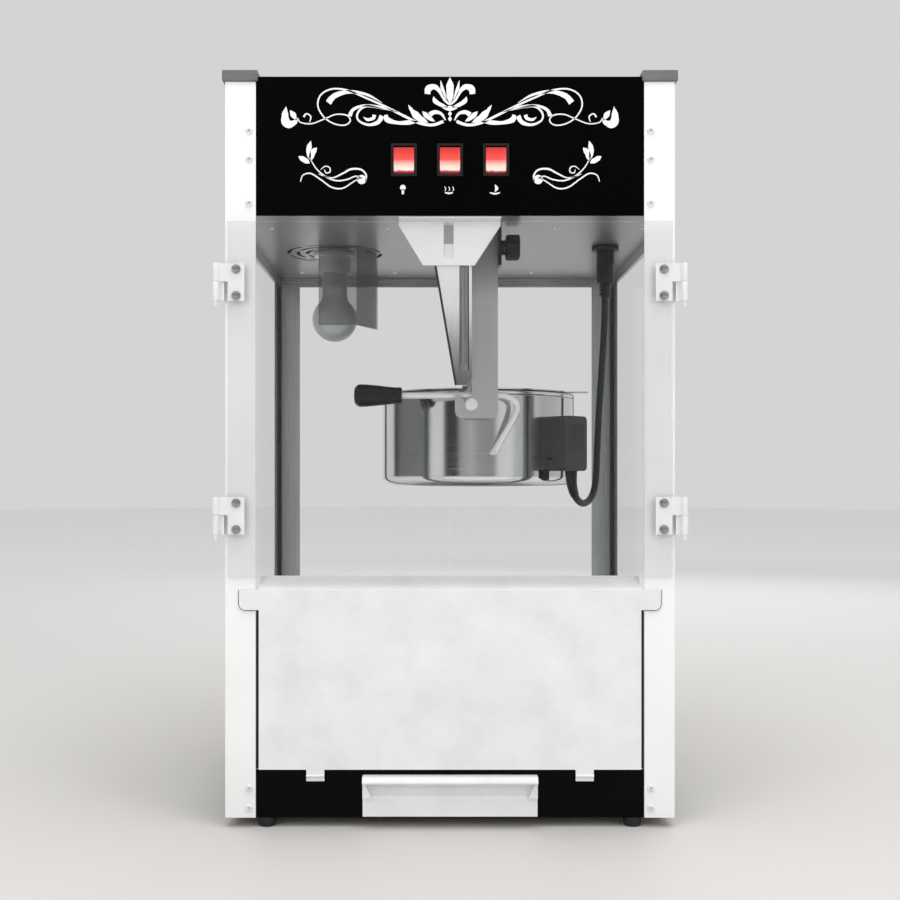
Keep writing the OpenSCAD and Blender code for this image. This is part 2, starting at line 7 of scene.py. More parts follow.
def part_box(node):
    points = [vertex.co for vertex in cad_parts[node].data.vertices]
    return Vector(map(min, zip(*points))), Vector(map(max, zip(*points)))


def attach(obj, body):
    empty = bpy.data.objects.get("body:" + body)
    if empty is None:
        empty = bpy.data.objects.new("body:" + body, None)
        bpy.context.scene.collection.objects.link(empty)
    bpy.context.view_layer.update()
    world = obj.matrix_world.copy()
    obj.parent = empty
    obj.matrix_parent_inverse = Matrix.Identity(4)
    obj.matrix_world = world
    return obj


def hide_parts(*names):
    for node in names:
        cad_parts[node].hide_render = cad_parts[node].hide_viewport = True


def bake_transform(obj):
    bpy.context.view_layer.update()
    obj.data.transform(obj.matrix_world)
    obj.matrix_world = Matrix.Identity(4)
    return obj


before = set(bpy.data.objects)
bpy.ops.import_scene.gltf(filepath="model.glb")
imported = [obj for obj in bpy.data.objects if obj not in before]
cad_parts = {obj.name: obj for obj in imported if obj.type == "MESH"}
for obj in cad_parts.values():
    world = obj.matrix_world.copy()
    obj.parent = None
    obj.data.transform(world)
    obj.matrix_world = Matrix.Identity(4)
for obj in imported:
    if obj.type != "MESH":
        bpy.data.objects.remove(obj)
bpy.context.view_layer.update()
mm = 0.001
stageCollection = bpy.context.scene.collection
print("frame loaded:", len(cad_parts), "nodes")


cameraSettings = {"lens": 46.1, "place": (-0.0155, -1.225, 0.326), "shift": (0.0189, 0.0222)}


def placeCamera():
    lens = bpy.data.cameras.new("frontCamera")
    lens.lens = cameraSettings["lens"]
    lens.sensor_width = 36
    lens.shift_x, lens.shift_y = cameraSettings["shift"]
    lens.clip_start = 0.01
    camera = bpy.data.objects.new("frontCamera", lens)
    camera.location = cameraSettings["place"]
    camera.rotation_euler = (pi / 2, 0, 0)
    stageCollection.objects.link(camera)
    bpy.context.scene.camera = camera


placeCamera()


def linkPiece(name, mesh, material, body, replaces=()):
    piece = bpy.data.objects.new(name, mesh)
    stageCollection.objects.link(piece)
    mesh.materials.clear()
    mesh.materials.append(material)
    if body:
        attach(piece, body)
    if replaces:
        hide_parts(*replaces)
    return piece


def smoothSurface(mesh, angle=38):
    for face in mesh.polygons:
        face.use_smooth = True
    mesh.set_sharp_from_angle(angle=radians(angle))


def finishMesh(work, name, angle=38, recalc=True):
    if recalc:
        bmesh.ops.recalc_face_normals(work, faces=work.faces)
    mesh = bpy.data.meshes.new(name)
    work.to_mesh(mesh)
    work.free()
    smoothSurface(mesh, angle)
    return mesh


def joinInto(work, extra):  # adds one bmesh's faces to another and frees it
    copy = bpy.data.meshes.new("part")
    extra.to_mesh(copy)
    extra.free()
    work.from_mesh(copy)
    bpy.data.meshes.remove(copy)


def stitchRings(work, rings):  # joins each ring of points to the next with quads
    count = len(rings[0])
    for low, high in zip(rings, rings[1:]):
        for j in range(count):
            k = (j + 1) % count
            work.faces.new([low[j], low[k], high[k], high[j]])


def curveThrough(points, perSpan):  # a smooth line through every given point
    points = [Vector(p) for p in points]
    line = []
    for i in range(len(points) - 1):
        a = points[max(i - 1, 0)]
        b, c = points[i], points[i + 1]
        d = points[min(i + 2, len(points) - 1)]
        for k in range(perSpan):
            t = k / perSpan
            line.append(0.5 * (2 * b + (c - a) * t + (2 * a - 5 * b + 4 * c - d) * t ** 2
                               + (3 * b - a - 3 * c + d) * t ** 3))
    return line + [points[-1]]


def tubeAlong(line, radii, sides):  # rings carried along the line without twist
    work = bmesh.new()
    uvLayer = work.loops.layers.uv.new("lengthMap")
    tangents = [(line[min(i + 1, len(line) - 1)] - line[max(i - 1, 0)]).normalized()
                for i in range(len(line))]
    side = tangents[0].orthogonal().normalized()
    rings, travelled, reach = [], 0.0, [0.0]
    for i, centre in enumerate(line):
        side = (side - tangents[i] * side.dot(tangents[i])).normalized()
        across = tangents[i].cross(side)
        rings.append([work.verts.new(centre + radii[i] * (side * cos(2 * pi * j / sides)
                                                          + across * sin(2 * pi * j / sides)))
                      for j in range(sides)])
        if i:
            travelled += (centre - line[i - 1]).length
            reach.append(travelled)
    for i in range(len(rings) - 1):
        for j in range(sides):
            k = (j + 1) % sides
            face = work.faces.new([rings[i][j], rings[i][k], rings[i + 1][k], rings[i + 1][j]])
            places = [(j, i), (j + 1, i), (j + 1, i + 1), (j, i + 1)]
            for loop, (u, v) in zip(face.loops, places):
                loop[uvLayer].uv = (u / sides, reach[v])
    work.faces.new(rings[0][::-1])
    work.faces.new(rings[-1])
    return work


# node helpers for the finishes
def addNode(tree, kind, inputs=None, **settings):
    node = tree.nodes.new(kind)
    for key, value in settings.items():
        setattr(node, key, value)
    for key, value in (inputs or {}).items():
        socket = node.inputs[key]
        if isinstance(value, bpy.types.NodeSocket):
            tree.links.new(value, socket)
        else:
            socket.default_value = value
    return node


def startFinish(name, **values):
    finish = bpy.data.materials.new(name)
    finish.use_nodes = True
    tree = finish.node_tree
    shader = tree.nodes["Principled BSDF"]
    for key, value in values.items():
        socket = shader.inputs[key.replace("_", " ")]
        if key.endswith("Color"):
            value = tuple(value) + (1.0,) * (4 - len(value))
        socket.default_value = value
    return finish, tree, shader


def objectPlace(tree, stretch=(1, 1, 1)):
    place = addNode(tree, "ShaderNodeTexCoord").outputs["Object"]
    return addNode(tree, "ShaderNodeMapping", {"Vector": place, "Scale": stretch}).outputs[0]


def noiseAt(tree, place, scale, detail=4.0, rough=0.55):
    return addNode(tree, "ShaderNodeTexNoise", {"Vector": place, "Scale": scale,
                   "Detail": detail, "Roughness": rough}).outputs["Fac"]


def spread(tree, value, fromLow, fromHigh, low, high):
    return addNode(tree, "ShaderNodeMapRange", {"Value": value, "From Min": fromLow,
                   "From Max": fromHigh, "To Min": low, "To Max": high}).outputs[0]


def shade(tree, value, stops):
    ramp = addNode(tree, "ShaderNodeValToRGB", {"Fac": value})
    while len(ramp.color_ramp.elements) < len(stops):
        ramp.color_ramp.elements.new(0.5)
    for element, (position, colour) in zip(ramp.color_ramp.elements, stops):
        element.position = position
        element.color = tuple(colour) + (1.0,)
    return ramp.outputs["Color"]


def addBump(tree, shader, height, strength, distance, below=None):
    inputs = {"Height": height, "Strength": strength, "Distance": distance}
    if below is not None:
        inputs["Normal"] = below
    lift = addNode(tree, "ShaderNodeBump", inputs)
    tree.links.new(lift.outputs[0], shader.inputs["Normal"])
    return lift.outputs[0]


def paintedSheet(name, colour, roughness, grain, gloss=0.5):
    finish, tree, shader = startFinish(name, Roughness=roughness, Specular_IOR_Level=gloss)
    place = objectPlace(tree)
    cloud = noiseAt(tree, place, 9, 3)
    darker = tuple(c * 0.93 for c in colour)
    tree.links.new(shade(tree, cloud, [(0.3, darker), (0.7, colour)]), shader.inputs["Base Color"])
    peel = noiseAt(tree, place, grain, 2)
    tree.links.new(spread(tree, peel, 0.3, 0.7, roughness - 0.05, roughness + 0.06),
                   shader.inputs["Roughness"])
    addBump(tree, shader, peel, 0.12, 0.0002)
    return finish


def brushedSheet(name, light, dark, roughness, along, scale=60):
    finish, tree, shader = startFinish(name, Metallic=1.0, Roughness=roughness)
    stretch = [26.0, 26.0, 26.0]
    stretch["XYZ".index(along)] = 0.35
    streaks = noiseAt(tree, objectPlace(tree, stretch), scale, 3)
    patches = noiseAt(tree, objectPlace(tree), 7, 3)
    tone = addNode(tree, "ShaderNodeMath", {0: streaks, 1: patches}, operation="ADD").outputs[0]
    tree.links.new(shade(tree, spread(tree, tone, 0.7, 1.3, 0, 1), [(0.1, dark), (0.9, light)]),
                   shader.inputs["Base Color"])
    tree.links.new(spread(tree, streaks, 0.3, 0.7, roughness - 0.06, roughness + 0.1),
                   shader.inputs["Roughness"])
    addBump(tree, shader, streaks, 0.18, 0.0002)
    return finish


postSkin = {"X": 204.2, "Y": 174.2}  # the white coat starts this far from the middle, in mm


def postFinish():  # white coat outside, bare brushed sheet inside
    finish, tree, shader = startFinish("whitePost", Roughness=0.32)
    place = objectPlace(tree)
    split = addNode(tree, "ShaderNodeSeparateXYZ", {"Vector": place})
    sides = []
    for axis, limit in postSkin.items():
        size = addNode(tree, "ShaderNodeMath", {0: split.outputs[axis]}, operation="ABSOLUTE")
        sides.append(addNode(tree, "ShaderNodeMath", {0: size.outputs[0], 1: limit * mm},
                             operation="GREATER_THAN").outputs[0])
    outer = addNode(tree, "ShaderNodeMath", {0: sides[0], 1: sides[1]}, operation="MAXIMUM")
    streaks = noiseAt(tree, objectPlace(tree, (26, 26, 0.35)), 60, 3)
    bare = shade(tree, streaks, [(0.3, (0.42, 0.44, 0.455)), (0.7, (0.62, 0.645, 0.665))])
    cloud = noiseAt(tree, place, 9, 3)
    coat = shade(tree, cloud, [(0.3, (0.83, 0.83, 0.835)), (0.7, (0.9, 0.9, 0.9))])
    both = addNode(tree, "ShaderNodeMix", {"Factor": outer.outputs[0], 6: bare, 7: coat},
                   data_type="RGBA")
    tree.links.new(both.outputs[2], shader.inputs["Base Color"])
    bareness = addNode(tree, "ShaderNodeMath", {0: 1.0, 1: outer.outputs[0]}, operation="SUBTRACT")
    tree.links.new(spread(tree, bareness.outputs[0], 0, 1, 0, 0.35), shader.inputs["Metallic"])
    addBump(tree, shader, noiseAt(tree, place, 700, 2), 0.1, 0.0002)
    return finish


def cloudySatin():  # light sheet with soft blotches and a very fine grain
    finish, tree, shader = startFinish("cloudySatin", Metallic=0.2, Roughness=0.42)
    place = objectPlace(tree)
    cloud = noiseAt(tree, place, 24, 6, 0.62)
    grain = noiseAt(tree, objectPlace(tree, (1, 1, 14)), 160, 3)
    tone = addNode(tree, "ShaderNodeMath", {0: cloud, 1: spread(tree, grain, 0, 1, -0.12, 0.12)},
                   operation="ADD").outputs[0]
    tree.links.new(shade(tree, tone, [(0.3, (0.79, 0.79, 0.795)), (0.5, (0.85, 0.85, 0.855)),
                                      (0.7, (0.89, 0.89, 0.895))]), shader.inputs["Base Color"])
    tree.links.new(spread(tree, cloud, 0.3, 0.7, 0.48, 0.34), shader.inputs["Roughness"])
    addBump(tree, shader, grain, 0.08, 0.0002)
    return finish


def polishedSpun(name, light, dark, roughness):  # fine rings turned into the metal
    finish, tree, shader = startFinish(name, Metallic=1.0, Roughness=roughness)
    rings = noiseAt(tree, objectPlace(tree, (0.6, 0.6, 40)), 40, 3)
    smears = noiseAt(tree, objectPlace(tree, (1, 1, 0.25)), 22, 4)
    tree.links.new(shade(tree, smears, [(0.25, dark), (0.7, light)]), shader.inputs["Base Color"])
    tree.links.new(spread(tree, rings, 0.3, 0.7, roughness - 0.04, roughness + 0.06),
                   shader.inputs["Roughness"])
    addBump(tree, shader, rings, 0.05, 0.0001)
    return finish


def platedBright(name, tone=0.82, roughness=0.12, metal=1.0):
    finish, tree, shader = startFinish(name, Metallic=metal, Roughness=roughness)
    spots = noiseAt(tree, objectPlace(tree), 45, 3)
    tree.links.new(shade(tree, spots, [(0.25, (tone * 0.93,) * 3), (0.7, (tone,) * 3)]),
                   shader.inputs["Base Color"])
    tree.links.new(spread(tree, spots, 0.3, 0.75, roughness, roughness + 0.05),
                   shader.inputs["Roughness"])
    return finish


def mouldedPlastic(name, colour, roughness, grain=900, gloss=0.5):
    finish, tree, shader = startFinish(name, Roughness=roughness, Specular_IOR_Level=gloss)
    place = objectPlace(tree)
    cloud = noiseAt(tree, place, 30, 4)
    lighter = tuple(c * 1.35 + 0.001 for c in colour)
    tree.links.new(shade(tree, cloud, [(0.3, colour), (0.75, lighter)]),
                   shader.inputs["Base Color"])
    pebble = addNode(tree, "ShaderNodeTexVoronoi", {"Vector": place, "Scale": grain}).outputs[0]
    tree.links.new(spread(tree, cloud, 0.3, 0.7, roughness - 0.06, roughness + 0.08),
                   shader.inputs["Roughness"])
    addBump(tree, shader, pebble, 0.15, 0.0002)
    return finish


def clearSheet(name, colour, thin, thick, roughness):  # clearer face on, glossier along the sheet
    finish, tree, shader = startFinish(name, Roughness=roughness, IOR=1.49)
    edge = addNode(tree, "ShaderNodeFresnel", {"IOR": 1.49}).outputs[0]
    tree.links.new(spread(tree, edge, 0.03, 0.6, thin, thick), shader.inputs["Alpha"])
    haze = noiseAt(tree, objectPlace(tree), 14, 3)
    tree.links.new(shade(tree, haze, [(0.3, tuple(c * 0.94 for c in colour)), (0.7, colour)]),
                   shader.inputs["Base Color"])
    return finish


def tongueReflectionFinish():  # painted reflection: white at the top where the sheet reflects the light above, painted greyer and dark towards the tip
    finish, tree, shader = startFinish("tonguePaintedReflection", Metallic=0.3, Roughness=0.25)
    height = addNode(tree, "ShaderNodeSeparateXYZ", {"Vector": objectPlace(tree)}).outputs["Z"]
    low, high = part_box("latch_tongue")[0][2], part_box("latch_tongue")[1][2]
    streaks = noiseAt(tree, objectPlace(tree, (26, 26, 0.35)), 60, 3)
    level = addNode(tree, "ShaderNodeMath", {0: spread(tree, height, low, high, 0, 1),
                    1: spread(tree, streaks, 0, 1, -0.08, 0.08)}, operation="ADD").outputs[0]
    tree.links.new(shade(tree, level, [(0.04, (0.16, 0.165, 0.17)), (0.3, (0.45, 0.455, 0.46)),
                                       (0.55, (0.93, 0.935, 0.94)), (0.75, (1.0, 1.0, 1.0))]),
                   shader.inputs["Base Color"])
    addBump(tree, shader, streaks, 0.1, 0.0001)
    return finish


def armShadeFinish():  # satin sheet, even below, with painted shade darkening it towards the top under the ceiling
    finish, tree, shader = startFinish("armSheetPaintedShade", Metallic=0.45, Roughness=0.34)
    height = addNode(tree, "ShaderNodeSeparateXYZ", {"Vector": objectPlace(tree)}).outputs["Z"]
    streaks = noiseAt(tree, objectPlace(tree, (26, 26, 0.35)), 60, 3)
    level = addNode(tree, "ShaderNodeMath", {0: spread(tree, height, 0.36, 0.56, 0, 1),
                    1: spread(tree, streaks, 0, 1, -0.05, 0.05)}, operation="ADD").outputs[0]
    tree.links.new(shade(tree, level, [(0.0, (0.5, 0.51, 0.515)), (0.65, (0.58, 0.59, 0.595)),
                                       (0.78, (0.36, 0.365, 0.37)), (0.95, (0.2, 0.2, 0.205))]),
                   shader.inputs["Base Color"])
    addBump(tree, shader, streaks, 0.1, 0.0001)
    return finish


def litLens():  # red at the top, glowing paler towards the bottom edge
    finish, tree, shader = startFinish("litLens", Roughness=0.18, Coat_Weight=0.6,
                                       Coat_Roughness=0.06)
    height = addNode(tree, "ShaderNodeSeparateXYZ", {"Vector": objectPlace(tree)}).outputs["Z"]
    low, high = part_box("rocker_left")[0][2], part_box("rocker_left")[1][2]
    level = spread(tree, height, low, high, 0, 1)
    grain = noiseAt(tree, objectPlace(tree), 260, 2)
    level = addNode(tree, "ShaderNodeMath", {0: level, 1: spread(tree, grain, 0, 1, -0.04, 0.04)},
                    operation="ADD").outputs[0]
    glow = shade(tree, level, [(0.09, (0.3, 0.003, 0.007)), (0.16, (1.0, 0.7, 0.64)),
                               (0.3, (1.0, 0.5, 0.44)), (0.52, (0.75, 0.07, 0.055)),
                               (0.95, (0.4, 0.012, 0.014))])
    tree.links.new(glow, shader.inputs["Base Color"])
    tree.links.new(glow, shader.inputs["Emission Color"])
    shader.inputs["Emission Strength"].default_value = 0.4
    return finish


finishes = {
    "whitePost": postFinish(),
    "blackGloss": paintedSheet("blackGloss", (0.0008, 0.0008, 0.0009), 0.2, 500, 0.07),
    "capGrey": mouldedPlastic("capGrey", (0.13, 0.13, 0.135), 0.45),
    "brushX": brushedSheet("brushedAcross", (0.5, 0.51, 0.52), (0.3, 0.31, 0.32), 0.3, "X"),
    "brushZ": brushedSheet("brushedUpright", (0.56, 0.57, 0.58), (0.36, 0.37, 0.38), 0.32, "Z"),
    "brushY": brushedSheet("brushedDeep", (0.5, 0.51, 0.52), (0.32, 0.33, 0.34), 0.34, "Y"),
    "satin": cloudySatin(),
    "ceiling": platedBright("ceilingSheet", 0.34, 0.3, 0.7),
    "armSheetPaintedShade": armShadeFinish(),
    "polished": polishedSpun("polishedPot", (0.8, 0.81, 0.82), (0.68, 0.69, 0.7), 0.09),
    "bracketWhite": paintedSheet("bracketWhite", (0.93, 0.93, 0.93), 0.3, 300),
    "tongue": tongueReflectionFinish(),
    "groove": brushedSheet("grooveShade", (0.62, 0.625, 0.63), (0.3, 0.305, 0.31), 0.3, "Z", 30),
    "foldShade": brushedSheet("foldShade", (0.09, 0.09, 0.095), (0.05, 0.05, 0.052), 0.4, "Z"),
    "pin": platedBright("pinPlate", 0.95, 0.3, 0.3),
    "chrome": platedBright("brightPlate", 0.96, 0.2, 0.45),
    "leafPlate": platedBright("leafPlate", 0.93, 0.4, 0.35),
    "nutPlate": platedBright("nutPlate", 0.4, 0.3),
    "zinc": platedBright("zincPlate", 0.5, 0.38),
    "castBlock": mouldedPlastic("castBlock", (0.05, 0.048, 0.046), 0.62, 400),
    "blackPlastic": mouldedPlastic("blackPlastic", (0.003, 0.003, 0.0032), 0.26, 900, 0.25),
    "boxPlastic": mouldedPlastic("boxPlastic", (0.022, 0.022, 0.023), 0.42),
    "rubber": mouldedPlastic("footRubber", (0.012, 0.012, 0.012), 0.7, 600),
    "leadRubber": mouldedPlastic("leadSheath", (0.01, 0.01, 0.011), 0.4, 1200, 0.35),
    "porcelain": mouldedPlastic("glazedSocket", (0.66, 0.65, 0.62), 0.2, 200),
    "bezel": mouldedPlastic("bezelPlastic", (0.012, 0.011, 0.012), 0.3, 1400, 0.3),
    "doorSheet": clearSheet("doorSheet", (0.6, 0.64, 0.66), 0.008, 0.4, 0.04),
    "paneSheet": clearSheet("paneSheet", (0.55, 0.6, 0.62), 0.01, 0.1, 0.05),
    "smoked": clearSheet("smokedSheet", (0.14, 0.15, 0.16), 0.4, 0.8, 0.12),
    "frosted": clearSheet("frostedBulb", (0.62, 0.65, 0.68), 0.6, 0.97, 0.32),
    "lens": litLens(),
    "print": paintedSheet("whitePrint", (0.88, 0.88, 0.87), 0.5, 1500),
}
print("finishes ready:", len(finishes))


leadSettings = {
    "diameter": 0.007,
    "sleeve": (6.0, 2.0, 0.35),  # radius at the box, how much it tapers, and its ridges
    "route": [(121, -86, 331), (121, -86, 322), (122.2, -84.2, 310), (125.5, -79.2, 300.6),
              (130.6, -71.8, 294.6), (136.5, -63, 292.4), (142.4, -54.2, 294.6),
              (147.5, -46.8, 300.6), (150.8, -41.8, 310), (152.3, -39.8, 322),
              (153.4, -38.6, 345), (154.8, -37.4, 372), (156.6, -36, 400), (158.6, -34.6, 428),
              (160.8, -32.8, 458), (162.4, -31, 486), (163, -30, 510)],
}


def makeLead():
    route = [Vector(p) * mm for p in leadSettings["route"]]
    line = curveThrough(route, 6)
    radius = leadSettings["diameter"] / 2
    lead = linkPiece("kettleLead", finishMesh(tubeAlong(line, [radius] * len(line), 20),
                     "kettleLead"), finishes["leadRubber"], None)
    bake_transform(lead)
    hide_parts("kettle_cord")
    sleeveLine = curveThrough(route[:4], 6)[4:]
    count = len(sleeveLine) - 1
    wide, taper, ridge = leadSettings["sleeve"]
    radii = [(wide - taper * k / count + (ridge if k % 2 else 0)) * mm for k in range(count + 1)]
    linkPiece("leadSleeve", finishMesh(tubeAlong(sleeveLine, radii, 24), "leadSleeve", 50),
              finishes["blackPlastic"], "kettle")


makeLead()


def softened(node, look, width=0.5, body="cabinet", segments=2, sharp=30):
    work = bmesh.new()
    work.from_mesh(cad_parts[node].data)
    bmesh.ops.remove_doubles(work, verts=work.verts, dist=2e-6)
    bmesh.ops.dissolve_limit(work, angle_limit=radians(0.4), verts=work.verts, edges=work.edges)
    corners = [e for e in work.edges if len(e.link_faces) == 2
               and e.calc_face_angle() > radians(sharp)]
    strips = set()
    if width and corners:
        strips = set(bmesh.ops.bevel(work, geom=corners, offset=width * mm, segments=segments,
                                     profile=0.5, affect="EDGES", clamp_overlap=True)["faces"])
    work.faces.index_update()  # the flat faces keep one normal, so nothing shades across them
    level = [face.index for face in work.faces if face not in strips and not any(
        radians(0.5) < e.calc_face_angle(0) < radians(38) and g not in strips
        for e in face.edges for g in e.link_faces if g != face)]
    mesh = finishMesh(work, node + "Piece", recalc=False)
    for index in level:
        mesh.polygons[index].use_smooth = False
    return linkPiece(node + "Piece", mesh, finishes[look], body, (node,))


cabinetLooks = {
    "front_posts": ("whitePost", 0.5), "rear_posts": ("whitePost", 0.5),
    "post_caps": ("capGrey", 1.0), "control_panel": ("blackGloss", 0.3),
    "top_sides": ("blackGloss", 0.3), "top_rear": ("blackGloss", 0.3),
    "roof_panel": ("blackGloss", 0.3), "ceiling_panel": ("ceiling", 0.2),
    "ceiling_rails": ("brushX", 0.5), "base_front": ("blackGloss", 0.3),
    "base_walls": ("blackGloss", 0.3), "bottom_plate": ("zinc", 0.3), "deck": ("brushX", 0.2),
    "side_glass_left": ("paneSheet", 0.4), "side_glass_right": ("paneSheet", 0.4),
    "rear_glass": ("paneSheet", 0.4), "glass_gaskets": ("rubber", 0.4),
    "hinge_post_leaves": ("leafPlate", 0.4), "gear_motor": ("zinc", 1.0),
    "motor_plate": ("zinc", 0.5), "hanger_bracket": ("bracketWhite", 0.4),
    "hanger_arm_front": ("armSheetPaintedShade", 0.9),
    "hanger_arm_rear": ("armSheetPaintedShade", 0.9), "lamp_socket": ("porcelain", 0.8),
    "lamp_guard": ("smoked", 0.4), "kettle_socket": ("blackPlastic", 0.8),
    "cord_plug": ("blackPlastic", 0.6), "switch_housings": ("bezel", 0.5),
    "power_gland": ("blackPlastic", 0.5), "warming_element": ("zinc", 0.3),
    "drawer_rails": ("zinc", 0.3), "clamp_bracket": ("blackPlastic", 0.5),
    "feet": ("rubber", 0.8),
}
movingLooks = {
    "crossbar": ("polished", 0.4, "kettle"), "connector_box": ("boxPlastic", 2.2, "kettle"),
    "kettle_heater": ("castBlock", 0.8, "kettle"), "lid_left": ("polished", 0.35, "lid_left"),
    "lid_right": ("polished", 0.35, "lid_right"), "agitator": ("chrome", 0.3, "agitator"),
    "drive_shaft": ("chrome", 0.4, "drive_shaft"), "trunnion_pins": ("pin", 0.5, "kettle"),
    "door_glass_left": ("doorSheet", 0.5, "door_left"),
    "door_glass_right": ("doorSheet", 0.5, "door_right"),
    "door_leaf_left": ("leafPlate", 0.3, "door_left"),
    "door_leaf_right": ("leafPlate", 0.3, "door_right"),
    "flap_panel": ("satin", 0.5, "flap"), "drawer_front": ("satin", 0.6, "drawer"),
    "drawer_tray": ("brushY", 0.3, "drawer"), "rocker_left": ("lens", 0.8, "rocker_left"),
    "rocker_middle": ("lens", 0.8, "rocker_middle"),
    "rocker_right": ("lens", 0.8, "rocker_right"),
}
for nodeName, (look, width) in cabinetLooks.items():
    softened(nodeName, look, width)
for nodeName, (look, width, bodyName) in movingLooks.items():
    softened(nodeName, look, width, bodyName)
print("softened pieces:", len(cabinetLooks) + len(movingLooks))


# painted shade: sizes of the dark strips and tab outlines that stand in for shade in the gaps
# around the flap
flapShadeSettings = {"edge": 177, "width": 3.4, "low": 54, "high": 214, "front": -173.4, "deep": 2,
                "tabShadeTop": 216.6, "tabShadeFoot": 197.7, "tabShadeEnd": 192.8, "tabShadeCorner": 6.8,
                "tabShadeFace": -175.45, "tabShadeBack": -175.05}


def makeFlapShadeStrips():  # dark strips beside the flap and thin dark outlines behind its tabs, painted shade standing in for the shade in these gaps
    s = flapShadeSettings
    work = bmesh.new()
    tabShade = [(s["edge"] + 0.2, s["tabShadeTop"]), (s["tabShadeEnd"], s["tabShadeTop"])]
    tabShade += arcPoints(s["tabShadeEnd"] - s["tabShadeCorner"], s["tabShadeFoot"] + s["tabShadeCorner"], s["tabShadeCorner"],
                     0, -90, 10)
    tabShade += [(s["edge"] + 0.2, s["tabShadeFoot"])]
    strip = [(s["edge"] - s["width"], s["high"]), (s["edge"], s["high"]),
             (s["edge"], s["low"]), (s["edge"] - s["width"], s["low"])]
    for side in (-1, 1):
        for outline, near, far in ((tabShade, s["tabShadeFace"], s["tabShadeBack"]),
                                   (strip, s["front"], s["front"] + s["deep"])):
            rings = [[work.verts.new(Vector((side * x, y, z)) * mm) for x, z in outline]
                     for y in (near, far)]
            work.faces.new(rings[0])
            work.faces.new(rings[1][::-1])
            stitchRings(work, rings)
    linkPiece("flapSeals", finishMesh(work, "flapSeals"), finishes["rubber"], "cabinet")


def turned(profile, steps=96, centre=(0, 0, 0), turn=None):  # profile of radius and height, in mm
    work = bmesh.new()
    rings = []
    for radius, height in profile:
        if radius < 1e-6:
            rings.append([work.verts.new((0, 0, height * mm))])
        else:
            rings.append([work.verts.new((radius * mm * cos(2 * pi * j / steps),
                                          radius * mm * sin(2 * pi * j / steps), height * mm))
                          for j in range(steps)])
    for low, high in zip(rings, rings[1:]):
        for j in range(steps):
            k = (j + 1) % steps
            if len(low) == 1 and len(high) > 1:
                work.faces.new([low[0], high[k], high[j]])
            elif len(high) == 1 and len(low) > 1:
                work.faces.new([low[j], low[k], high[0]])
            elif len(low) > 1:
                work.faces.new([low[j], low[k], high[k], high[j]])
    if turn is not None:
        bmesh.ops.transform(work, matrix=turn, verts=work.verts)
    bmesh.ops.translate(work, vec=Vector(centre) * mm, verts=work.verts)
    return work


def arcPoints(centreR, centreZ, radius, start, end, count=8):
    return [(centreR + radius * cos(radians(start + (end - start) * k / count)),
             centreZ + radius * sin(radians(start + (end - start) * k / count)))
            for k in range(count + 1)]


makeFlapShadeStrips()


kettleSettings = {"x": 32, "outer": 101.4, "low": 309.5, "high": 400.0, "corner": 10,
                  "panFloor": 338, "panCorner": 13, "panFlat": 81, "rimRoll": 2.15, "steps": 160}


def makeKettle():
    s = kettleSettings
    low, high, outer, corner = s["low"], s["high"], s["outer"], s["corner"]
    wall = [(0, low), (outer - corner - 12, low), (outer - corner - 10, low + 0.6)]
    wall += arcPoints(outer - corner, low + corner, corner, -84, 0, 14)
    wall += [(outer, low + corner + 1), (outer, high - 4), (outer, high - 1.2)]
    wall += arcPoints(outer - 0.6, high - 0.6, 0.6, 0, 180, 6)
    inner = outer - 1.2
    wall += [(inner, low + corner)] + arcPoints(inner - corner + 1.2, low + corner, corner - 1.2,
                                                0, -90)
    wall += [(0, low + 1.2)]
    place, steps = (s["x"], 0, 0), s["steps"]
    linkPiece("kettleWall", finishMesh(turned(wall, steps, place), "kettleWall"),
              finishes["polished"], "kettle", ("kettle_shell",))
    floorZ, bend, flat = s["panFloor"], s["panCorner"], s["panFlat"]
    pan = [(0, floorZ), (flat, floorZ)] + arcPoints(flat + 0.2, floorZ + bend, bend, -90, 0)
    pan += [(94.2, 399.6), (97.6, 400)] + arcPoints(99.6, 402.2, s["rimRoll"], 230, 490, 16)
    pan += [(97.4, 401.5), (93.6, 401.5), (93, 400.9), (93, 352)]
    pan += arcPoints(flat + 0.2, floorZ + bend + 0.3, bend - 1.2, 0, -90) + [(0, floorZ + 1.5)]
    linkPiece("kettlePan", finishMesh(turned(pan, steps, place), "kettlePan"),
              finishes["polished"], "kettle", ("kettle_pot",))


makeKettle()


handleSettings = {"y": -109.2, "radius": 3.2, "flare": 0.5, "flareSteps": 6, "gripX": -91.6,
                  "gripZ": 398}


